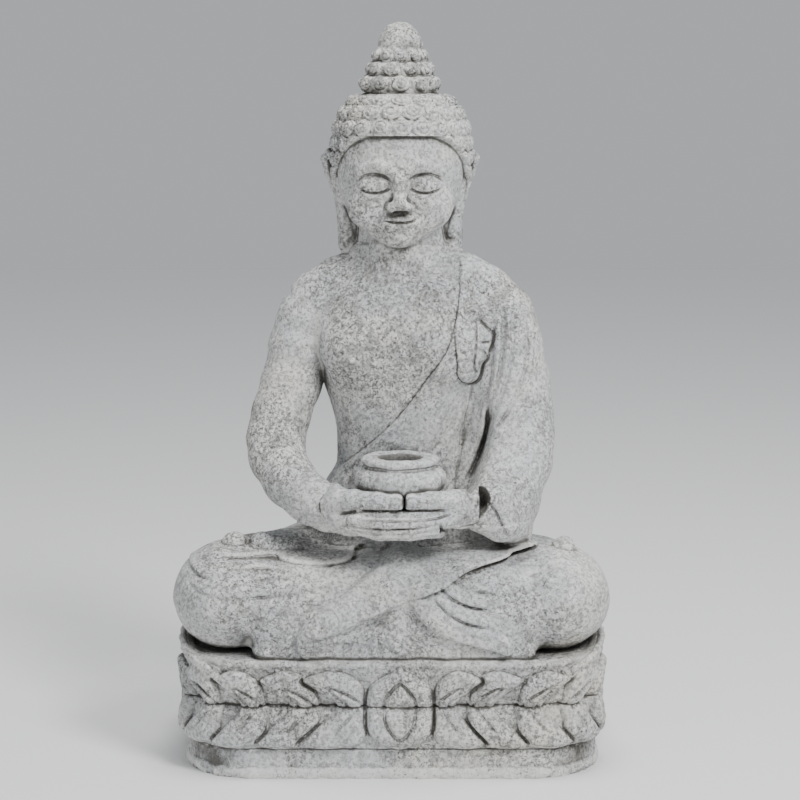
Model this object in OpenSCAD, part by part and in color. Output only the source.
// Seated figure with an alms bowl on a double lotus base, in cast stone.
// The origin is the middle of the underside. The figure faces -Y, and +Z is up.

/* [Base] */
// Width of the upper lotus rim
base_w = 350; // [342:1:420]
// Depth of the upper lotus rim
base_d = 214; // [206:1:260]
// Radius of the upright corners of the base
corner_r = 62; // [45:1:80]
// Height of the plinth slab
slab_h = 24; // [18:1:34]
// Height of the lower ring of petals
lower_h = 35; // [28:1:46]
// Height of the upper ring of petals
upper_h = 39; // [32:1:48]
// Inset of the waist between the two rings of petals
waist_inset = 9; // [5:1:14]
// Petals on each side of the middle petal, front and back
side_petals = 3; // [2:1:4]

/* [Figure] */
// Height of the figure above its seat
figure_h = 500; // [415:1:600]
// Sideways offset of the figure's axis from the middle of the base
axis_x = 6.5; // [0:0.5:10]
// Span over both knees
knee_span = 355; // [300:1:380]
// Height of the lap
lap_h = 88; // [76:1:100]
// Span over both shoulders
shoulder_span = 190; // [176:1:210]
// Width of the bare waist
waist_w = 112; // [100:1:124]
// Depth of the robe's front panel, from the foremost point of the chest
robe_depth = 27; // [22:1:32]
// Thickness of the upper arms
arm_d = 47; // [40:1:54]
// Height of the head from the neck joint to the crown
head_h = 138; // [126:1:150]
// Width of the head over the hair
head_w = 114; // [100:1:124]
// Height of the crown knot of hair
knot_h = 56; // [44:1:70]
// Width of the crown knot at its foot
knot_w = 70; // [56:1:84]

/* [Bowl] */
// Largest diameter of the bowl
bowl_d = 73; // [64:1:84]
// Diameter over the bowl's lip
lip_d = 62; // [56:1:66]
// Height of the bowl
bowl_h = 28; // [24:1:34]
// Diameter of the well in the bowl
well_d = 31; // [24:0.5:38]
// Depth of the well in the bowl
well_depth = 20; // [14:1:22]

/* [Reinforcement] */
// Diameter of the steel bar from the base to the head
spine_d = 12; // [8:0.5:14]
// Diameter of the steel bars in the arms
arm_bar_d = 6; // [4:0.5:8]
// Diameter of the two base dowels
dowel_d = 10; // [8:0.5:12]
// Distance between the two base dowels
dowel_gap = 190; // [150:1:230]
// Space around every bar in its hole
bar_clearance = 0.4; // [0.2:0.1:1]
// Thickness of the mortar beds
bed_t = 2; // [1:0.5:3]

/* [Hidden] */
BIG = 900;                // larger than the whole object
NOMINAL_H = 500;          // height at which the figure's own sizes are true
k = figure_h / NOMINAL_H; // scale of the figure
stone = "gainsboro";
mortar = "darkgray";
steel = "slategray";

// Heights in the base
lotus_top = slab_h + lower_h + upper_h;
seat_z = lotus_top + bed_t;
bar_foot = slab_h / 3;

// Heights in the figure, from its seat
waist_z = lap_h - 2;
knot_z = NOMINAL_H - knot_h;
neck_z = knot_z - head_h;
neck_bed_z = neck_z - bed_t / k;
shoulder_z = neck_z - 37;
joint_x = shoulder_span * 0.345;
half_waist = waist_w / 2;
chest_depth = 47;

// Places in the figure
bowl_y = -78;
bowl_z = 131;
bar_y = 14;
dowel_y = -20;
elbow = [shoulder_span / 2 + 5, -22, 160];
wrist = [48, -76, 113];
shoulder = [shoulder_span / 2 - 15, 2, shoulder_z - 4];
spine_top = 380;

// ---------------------------------------------------------------- helpers

// Places children in the figure's frame
module in_figure() translate([axis_x, 0, seat_z]) scale(k) children();

// A ball at station [x, y, z, radius], with fewer facets where it is small
module ball(s) translate([s[0], s[1], s[2]]) sphere(r = s[3], $fn = s[3] > 15 ? 16 : s[3] > 7 ? 10 : 6);

// A rounded limb through a list of stations [x, y, z, radius]
module limb(stations) {
    for (i = [0 : len(stations) - 2]) hull() {
        ball(stations[i]);
        ball(stations[i + 1]);
    }
}

// One smooth lump around a list of stations
module lump(stations) hull() for (s = stations) ball(s);

// The mirror image of children for side = -1
module on_side(side) scale([side, 1, 1]) children();

// Rounded rectangle with round corners, made of exact pieces
module round_rect(w, d, r) {
    square([w - 2 * r, d], center = true);
    square([w, d - 2 * r], center = true);
    for (sx = [-1, 1]) for (sy = [-1, 1])
        translate([sx * (w / 2 - r), sy * (d / 2 - r)]) circle(r = r, $fn = 96);
}

// Points of one ring of a loft: [centre x, centre y, z, half width, half depth, squareness]
function ring_points(s, n) = [for (i = [0 : n - 1])
    let (a = 360 * i / n, c = cos(a), d = sin(a), e = 2 / s[5])
    [s[0] + s[3] * sign(c) * pow(abs(c), e), s[1] + s[4] * sign(d) * pow(abs(d), e), s[2]]];

// A closed solid through rings, from the lowest to the highest
module loft(rings, n = 28) {
    pts = [for (s = rings) each ring_points(s, n)];
    last = len(rings) - 1;
    polyhedron(points = pts, faces = concat(
        [[for (i = [0 : n - 1]) i]],
        [for (j = [0 : last - 1]) for (i = [0 : n - 1])
            let (a = j * n + i, b = j * n + (i + 1) % n) each [[a, a + n, b + n], [a, b + n, b]]],
        [[for (i = [n - 1 : -1 : 0]) last * n + i]]));
}

// Everything above or below the height z
module above(z) translate([-BIG / 2, -BIG / 2, z]) cube(BIG);
module below(z) translate([-BIG / 2, -BIG / 2, z - BIG]) cube(BIG);

// An upright bar or its hole, from z0 to z1
module upright(x, y, z0, z1, d) translate([x, y, z0]) cylinder(h = z1 - z0, d = d, $fn = 32);

// Holes for the spine bar and the dowels, in the frame of the whole object
module spine_hole() upright(axis_x, bar_y, bar_foot, spine_end, spine_d + 2 * bar_clearance);
module dowel_holes() {
    for (s = [-1, 1])
        upright(s * dowel_gap / 2, dowel_y, bar_foot, dowel_end, dowel_d + 2 * bar_clearance);
}
spine_end = seat_z + spine_top * k;
dowel_end = seat_z + 30 * k;

// ------------------------------------------------------------------- base

module base_slab() color(stone) difference() {
    union() {
        linear_extrude(slab_h * 0.34)
            round_rect(base_w - 2 * waist_inset + 8, base_d - 2 * waist_inset + 6, corner_r);
        linear_extrude(slab_h)
            round_rect(base_w - 2 * waist_inset + 3, base_d - 2 * waist_inset + 1, corner_r);
    }
    spine_hole();
    dowel_holes();
}

// One tier of the base between two heights, with its half sizes at foot and top
module tier(z0, z1, in0, in1) {
    squareness = 4.2;
    mid = (in0 + in1) / 2 - 2;
    loft([
        [0, 0, z0, base_w / 2 - in0, base_d / 2 - in0, squareness],
        [0, 0, (z0 + z1) / 2, base_w / 2 - mid, base_d / 2 - mid, squareness],
        [0, 0, z1, base_w / 2 - in1, base_d / 2 - in1, squareness]
    ], 64);
}

// One petal standing out of a tier: root and tip heights, half width and lean
module petal(half_w, root_z, tip_z, lean) {
    r = 4;
    mid_z = (root_z + tip_z) / 2;
    lump([
        [0, 0, root_z, r],
        [lean * 0.5 - half_w + r, -1, mid_z, r],
        [lean * 0.5 + half_w - r, -1, mid_z, r],
        [lean, -2, tip_z, r / 2]
    ]);
}

// The ring of petals: the middle one, the leaning ones and the ones on the ends
module petal_ring(root_z, tip_z, inset) {
    half_w = (base_w / 2 - corner_r) / (side_petals + 0.5) * 0.62;
    front = base_d / 2 - inset;
    pitch = (base_w / 2 - corner_r * 0.75) / (side_petals + 0.4);
    for (turn = [0, 180]) rotate([0, 0, turn]) {
        translate([turn == 0 ? axis_x : 0, -front, 0]) petal(half_w * 1.15, root_z, tip_z, 0);
        for (s = [-1, 1]) for (i = [1 : side_petals])
            translate([s * (i - 0.25) * pitch, -front + (i == side_petals ? 3 : 0), 0])
                petal(half_w, root_z, tip_z, s * half_w * 0.9);
    }
    side = base_w / 2 - inset;
    for (s = [-1, 1]) for (y = [-1, 0, 1])
        translate([s * (side - (y == 0 ? 0 : 5)), y * (base_d / 2 - corner_r) * 1.1, 0])
            rotate([0, 0, s * 90]) petal(half_w, root_z, tip_z, 0);
}

module lower_lotus() color(stone) difference() {
    union() {
        tier(slab_h, slab_h + lower_h, waist_inset - 3, waist_inset);
        intersection() {
            petal_ring(slab_h + lower_h - 4, slab_h + 4, 4);
            above(slab_h);
            below(slab_h + lower_h);
        }
    }
    spine_hole();
    dowel_holes();
}

module upper_lotus() color(stone) difference() {
    union() {
        tier(slab_h + lower_h, lotus_top, waist_inset, 3);
        intersection() {
            petal_ring(slab_h + lower_h + 4, lotus_top - 4, 3);
            above(slab_h + lower_h);
            below(lotus_top);
        }
    }
    spine_hole();
    dowel_holes();
}

module seat_bed() color(mortar) difference() {
    translate([0, -0.03 * base_d, lotus_top]) linear_extrude(bed_t)
        round_rect(dowel_gap + 5 * dowel_d, base_d * 0.58, corner_r * 0.6);
    spine_hole();
    dowel_holes();
}

// ------------------------------------------------------------------- legs

knee_r = lap_h * 0.52;
knee = [knee_span / 2 - knee_r, -46, lap_h * 0.41, knee_r];
leg_mid = -axis_x / k;

module legs_form() {
    translate([leg_mid, 0, 0]) for (s = [-1, 1]) on_side(s) {
        limb([[46, 18, lap_h * 0.5, lap_h * 0.62], [94, -16, lap_h * 0.46, lap_h * 0.56], knee]);
        ankle = s == 1 ? [-44, -71, 30, 32] : [-40, -69, 27, 31];
        limb([[knee[0] - 4, -56, knee_r * 0.78, knee_r * 0.98], [60, -69 + s, 30, 34], ankle]);
        lump([[knee[0], -40, 14, 30], [60, 50, 14, 36], [40, -60, 14, 36]]);
    }
    lump([[-66, 22, 42, 58], [58, 22, 42, 58], [-40, 36, 38, 58], [32, 36, 38, 58]]);
    lump([[-84, -48, lap_h - 39, 36], [76, -48, lap_h - 38, 36], [-70, -66, 30, 34], [62, -66, 30, 35]]);
}

// A foot lying on the thigh: heel near the middle, toes near the knee
module foot_form(s) translate([leg_mid, 0, 0]) on_side(s) {
    limb([[58, -42, lap_h - 12, 13], [96, -38, lap_h - 9, 13], [124, -34, lap_h - 9, 11]]);
    for (i = [0 : 4])
        limb([[122, -45 + i * 6, lap_h - 7, 6], [135 + i % 2, -44 + i * 6, lap_h - 4, 5.5 - i * 0.3]]);
}

module crossed_legs() color(stone) difference() {
    in_figure() difference() {
        legs_form();
        below(0);
        foot_form(1);
        foot_form(-1);
        torso_form();
        hand_form(1);
        hand_form(-1);
        arm_form(1);
        arm_form(-1);
    }
    spine_hole();
    dowel_holes();
}

module foot(s) color(stone) in_figure() difference() {
    foot_form(s);
    torso_form();
    arm_form(1);
    arm_form(-1);
    hand_form(1);
    hand_form(-1);
}
module right_foot() foot(1);
module left_foot() foot(-1);

// ------------------------------------------------------------------ torso

// Trunk from the lap to the neck
module torso_form() {
    half_shoulder = shoulder_span / 2;
    loft([
        [2, 10, waist_z, half_waist + 26, 56, 2.3],
        [2, 6, waist_z + 30, half_waist + 10, 47, 2.4],
        [3, 4, waist_z + 50, half_waist + 4, 43, 2.4],
        [2, 4, waist_z + 92, half_waist + 9, 45, 2.4],
        [1, 4, waist_z + 130, half_waist + 18, 51, 2.4],
        [1, 5, shoulder_z - 19, half_shoulder - 18, chest_depth + 5, 2.4],
        [1, 6, shoulder_z + 3, half_shoulder - 10, 47, 2.3],
        [1, 8, shoulder_z + 18, half_shoulder - 20, 38, 2.1],
        [2, 9, shoulder_z + 28, half_shoulder * 0.56, 34, 2],
        [2, 9, neck_bed_z, half_shoulder * 0.44, 34, 2]
    ]);
}

// The trunk with flat faces where the arms join it
module trunk() intersection() {
    torso_form();
    translate([-joint_x, -BIG / 2, 0]) cube([2 * joint_x, BIG, BIG]);
}

// The robe's front panel: right of a curve from the neck to the waist
module robe_space() {
    edge_r = 165;
    translate([0, robe_depth - chest_depth, 0]) rotate([90, 0, 0]) linear_extrude(BIG) difference() {
        translate([-BIG / 2, waist_z]) square([BIG, neck_bed_z - waist_z]);
        translate([-edge_r + 49, shoulder_z + 23]) circle(r = edge_r, $fn = 64);
    }
}

module bowl_space() translate([0, bowl_y, bowl_z - bed_t / k])
    cylinder(h = bowl_h + bed_t / k + 6, d = bowl_d + 1.5, $fn = 48);

module torso() color(stone) difference() {
    in_figure() difference() {
        trunk();
        robe_space();
        bowl_space();
        hand_form(1);
        hand_form(-1);
    }
    arm_bar(1, bar_clearance);
    arm_bar(-1, bar_clearance);
    spine_hole();
}

module robe() color(stone) in_figure() difference() {
    intersection() {
        trunk();
        robe_space();
    }
    bowl_space();
    fold_form();
    hand_form(1);
    hand_form(-1);
}

// The folded end of the robe, lying on the chest under the shoulder
module fold_form() {
    top = shoulder_z - 6;
    limb([[45, -40, top - 10, 5], [46, -44, top - 34, 5], [52, -43, top - 50, 5]]);
    limb([[53, -41, top, 5], [54, -44, top - 30, 5], [60, -41, top - 53, 5]]);
    limb([[63, -36, top + 4, 5], [62, -41, top - 28, 5], [64, -39, top - 48, 5]]);
    lump([[45, -40, top - 10, 3], [63, -36, top + 4, 3], [60, -40, top - 53, 3]]);
}

module chest_fold() color(stone) in_figure() difference() {
    fold_form();
    difference() {
        trunk();
        robe_space();
    }
    for (s = [-1, 1]) arm_form(s);
}

// ------------------------------------------------------------------- arms

// An arm: the bare one on the -X side, the one in its sleeve on the +X side
module arm_form(s) {
    r = arm_d / 2;
    on_side(s) {
        limb([
            [shoulder[0] - 8, shoulder[1] + 3, shoulder[2] + 6, r],
            [shoulder[0] + 1, shoulder[1], shoulder[2] - 20, r + 1],
            [shoulder[0] + 9, shoulder[1] - 6, shoulder[2] - 64, r],
            [elbow[0] - 3, elbow[1] + 2, elbow[2] + 14, r],
            [elbow[0], elbow[1], elbow[2], r - 1],
            [elbow[0] - 14, elbow[1] - 22, elbow[2] - 25, r - 2],
            [wrist[0] + 18, wrist[1] + 6, wrist[2] + 3, r - 5],
            [wrist[0], wrist[1], wrist[2], r - 8]
        ]);
        if (s == 1) {
            limb([[elbow[0] - 7, -24, 160, 28], [elbow[0] - 20, -46, 122, 26], [wrist[0] + 22, -66, 114, 21]]);
            limb([[elbow[0] - 5, -22, 158, 22], [elbow[0] - 12, -46, 110, 17], [78, -66, 106, 16]]);
        }
    }
}

// A steel bar in an arm: from inside the trunk to a weld at the elbow, then to the wrist
module arm_bar(s, space) in_figure() {
    top = [joint_x - 16, 4, shoulder_z - 14];
    bend = [elbow[0] - 2, elbow[1] + 2, elbow[2] - 2];
    end = [wrist[0] + 6, wrist[1] + 2, wrist[2] + 1];
    weld_d = arm_bar_d * 1.25;
    on_side(s) {
        rod(top, bend, arm_bar_d / k + 2 * space);
        rod(bend, end, arm_bar_d / k + 2 * space);
        translate(bend) sphere(d = weld_d / k + 2 * space, $fn = 24);
    }
}

// A round rod between two points
module rod(a, b, d) {
    v = b - a;
    translate(a) rotate([0, acos(v[2] / norm(v)), atan2(v[1], v[0])])
        cylinder(h = norm(v), d = d, $fn = 24);
}

module arm(s) color(stone) difference() {
    in_figure() difference() {
        arm_form(s);
        trunk();
        hand_form(1);
        hand_form(-1);
        below(0);
    }
    arm_bar(s, bar_clearance);
}
module right_arm() arm(-1);
module left_arm() arm(1);

// ------------------------------------------------------------------ hands

palm_z = 113;             // where the upper hand rests on the lower one
finger_r = 5.6;

// A hand lying palm up: the +X one on top, the -X one beneath
module hand_form(s) {
    z = s == 1 ? palm_z + 9 : palm_z - 6;
    cut = wrist[0] - 2;
    intersection() {
        union() {
            on_side(s) {
                lump([[cut + 4, -76, z + 1, 10], [26, -80, z, 10], [14, -98, z, 9], [40, -96, z, 10]]);
                for (i = [0 : 3])
                    limb([[18, -84 - i * 7, z, finger_r], [-6, -86 - i * 7.4, z - 1, finger_r],
                        [-26 - (i % 3) * 3, -86 - i * 6.6, z, finger_r - 0.6]]);
                limb([[42, -88, palm_z + 2, 9], [36, -100, palm_z + 10, 8],
                    [22, -110, palm_z + 13, 7.4], [7.4, -112, palm_z + 14, 6.8]]);
            }
        }
        on_side(s) translate([-BIG + cut, -BIG / 2, 0]) cube([BIG, BIG, BIG]);
        if (s == 1) above(palm_z);
        below(bowl_z + 3);
    }
}

module right_hand() color(stone) in_figure() difference() {
    hand_form(-1);
    hand_form(1);
    bowl_space();
    arm_bar_end(-1);
}

module left_hand() color(stone) in_figure() difference() {
    hand_form(1);
    bowl_space();
    arm_bar_end(1);
}

// Keeps a hand clear of the end of the bar in its arm
module arm_bar_end(s) on_side(s) translate(wrist + [6, 2, 1]) sphere(d = arm_bar_d + 2, $fn = 24);

// ------------------------------------------------------------------- bowl

module bowl_bed() color(mortar) in_figure() translate([0, bowl_y, bowl_z - bed_t / k])
    cylinder(h = bed_t / k, d = bowl_d * 0.6);

// Outline of the bowl: foot, round belly, neck and rolled lip
module bowl_outline() {
    lip_r = bowl_h * 0.16;
    belly_r = bowl_h * 0.4;
    square([bowl_d / 2 - belly_r, belly_r * 2]);
    translate([bowl_d / 2 - belly_r, belly_r]) circle(r = belly_r, $fn = 64);
    square([lip_d / 2 - lip_r * 0.8, bowl_h - lip_r]);
    translate([lip_d / 2 - lip_r, bowl_h - lip_r]) circle(r = lip_r, $fn = 48);
    square([lip_d / 2 - lip_r, bowl_h]);
}

module alms_bowl() color(stone) in_figure() translate([0, bowl_y, bowl_z]) difference() {
    rotate_extrude($fn = 96) intersection() {
        bowl_outline();
        square([bowl_d, bowl_h]);
    }
    translate([0, 0, bowl_h - well_depth]) cylinder(h = well_depth + 1, d = well_d, $fn = 64);
}

// ------------------------------------------------------------------- head

hair_front_z = knot_z - 33;
hair_back_z = knot_z - 112;

// The slanting surface between the face and the hair: high over the brow, low at the nape
module hair_side() {
    slope = atan2(hair_front_z - hair_back_z, 112);
    translate([0, -46, hair_front_z]) rotate([-slope, 0, 0])
        translate([-BIG / 2, -BIG / 2, 0]) cube(BIG);
}

// The head from the neck joint to the foot of the knot
module skull_form() {
    half = head_w / 2;
    loft([
        [2, 8, neck_z, half * 0.74, 34, 2],
        [2, 6, neck_z + 12, half * 0.68, 33, 2],
        [1, 5, neck_z + 20, half * 0.66, 50, 2],
        [0, 4, neck_z + 34, half * 0.78, 56, 2.1],
        [0, 4, neck_z + 58, half * 0.88, 60, 2.1],
        [0, 5, neck_z + 84, half * 0.95, 62, 2.1],
        [0, 7, knot_z - 31, half, 61, 2.1],
        [0, 8, knot_z - 16, half * 0.92, 56, 2],
        [0, 8, knot_z - 7, half * 0.78, 46, 2],
        [0, 8, knot_z, half * 0.6, 34, 2]
    ]);
}

// Long ears that stand out at the top and end in thick lobes
module ear_form(s) on_side(s) {
    half = head_w / 2;
    limb([[half + 2, 10, knot_z - 53, 5], [half - 2, 8, knot_z - 62, 8], [half - 6, 8, knot_z - 88, 7],
        [half - 9, 8, knot_z - 108, 7], [half - 10, 6, knot_z - 121, 8]]);
}

module nose_form() limb([[0, -51, neck_z + 88, 4], [0, -54, neck_z + 68, 5], [0, -55.4, neck_z + 60, 6.4]]);

module lips_form() {
    for (z = [40, 46.4])
        limb([[-12, -45, neck_z + z, 4], [0, -52, neck_z + z + 0.4, 5], [12.6, -45, neck_z + z, 4]]);
}

module neck_bed() color(mortar) difference() {
    in_figure() translate([2, 9, neck_bed_z])
        scale([1, 0.8, 1]) cylinder(h = bed_t / k, d = shoulder_span * 0.4, $fn = 64);
    spine_hole();
}

module head() color(stone) difference() {
    in_figure() {
        difference() {
            union() {
                skull_form();
                nose_form();
                lips_form();
            }
            hair_side();
        }
        for (s = [-1, 1]) ear_form(s);
    }
    spine_hole();
}

// Rows of round curls over the hair cap
module curl_rows() {
    rows = 5;
    for (row = [0 : rows - 1]) {
        z = hair_front_z + 5 + row * 6.4;
        spread = head_w / 2 - 4 - pow(row, 2) * 1.1;
        count = 18 - row * 2;
        for (i = [0 : count - 1]) rotate([0, 0, 360 * (i + row % 2 / 2) / count])
            translate([spread, 0, z]) sphere(r = 5, $fn = 8);
    }
}

module hair_cap() color(stone) difference() {
    in_figure() difference() {
        intersection() {
            union() {
                skull_form();
                translate([0, 7, 0]) curl_rows();
            }
            hair_side();
            below(knot_z);
        }
        for (s = [-1, 1]) ear_form(s);
        nose_form();
        lips_form();
    }
    spine_hole();
}

// The knot: rings of curls that step inwards under a smooth dome
module crown_knot() color(stone) in_figure() translate([0, 8, knot_z]) {
    rings = 4;
    ring_h = knot_h * 0.13;
    dome_r = knot_w * 0.27;
    for (i = [0 : rings - 1]) {
        r = knot_w / 2 * (1 - 0.13 * i);
        translate([0, 0, i * ring_h]) cylinder(h = ring_h + 1, r = r - ring_h / 2);
        translate([0, 0, (i + 0.5) * ring_h]) rotate_extrude($fn = 96)
            translate([r - ring_h / 2, 0]) circle(r = ring_h / 2, $fn = 32);
    }
    translate([0, 0, rings * ring_h]) cylinder(h = knot_h - rings * ring_h - dome_r, r = dome_r);
    translate([0, 0, knot_h - dome_r]) sphere(r = dome_r, $fn = 64);
}

// ---------------------------------------------------------- reinforcement

module spine_bar() color(steel) upright(axis_x, bar_y, bar_foot, spine_end, spine_d);

module base_dowels() color(steel) {
    for (s = [-1, 1]) upright(s * dowel_gap / 2, dowel_y, bar_foot, dowel_end, dowel_d);
}

module right_arm_bar() color(steel) arm_bar(-1, 0);
module left_arm_bar() color(steel) arm_bar(1, 0);

// ------------------------------------------------------------ what is drawn

base_slab();
lower_lotus();
upper_lotus();
seat_bed();
crossed_legs();
right_foot();
left_foot();
torso();
robe();
chest_fold();
right_arm();
left_arm();
right_hand();
left_hand();
bowl_bed();
alms_bowl();
neck_bed();
head();
hair_cap();
crown_knot();
spine_bar();
base_dowels();
right_arm_bar();
left_arm_bar();
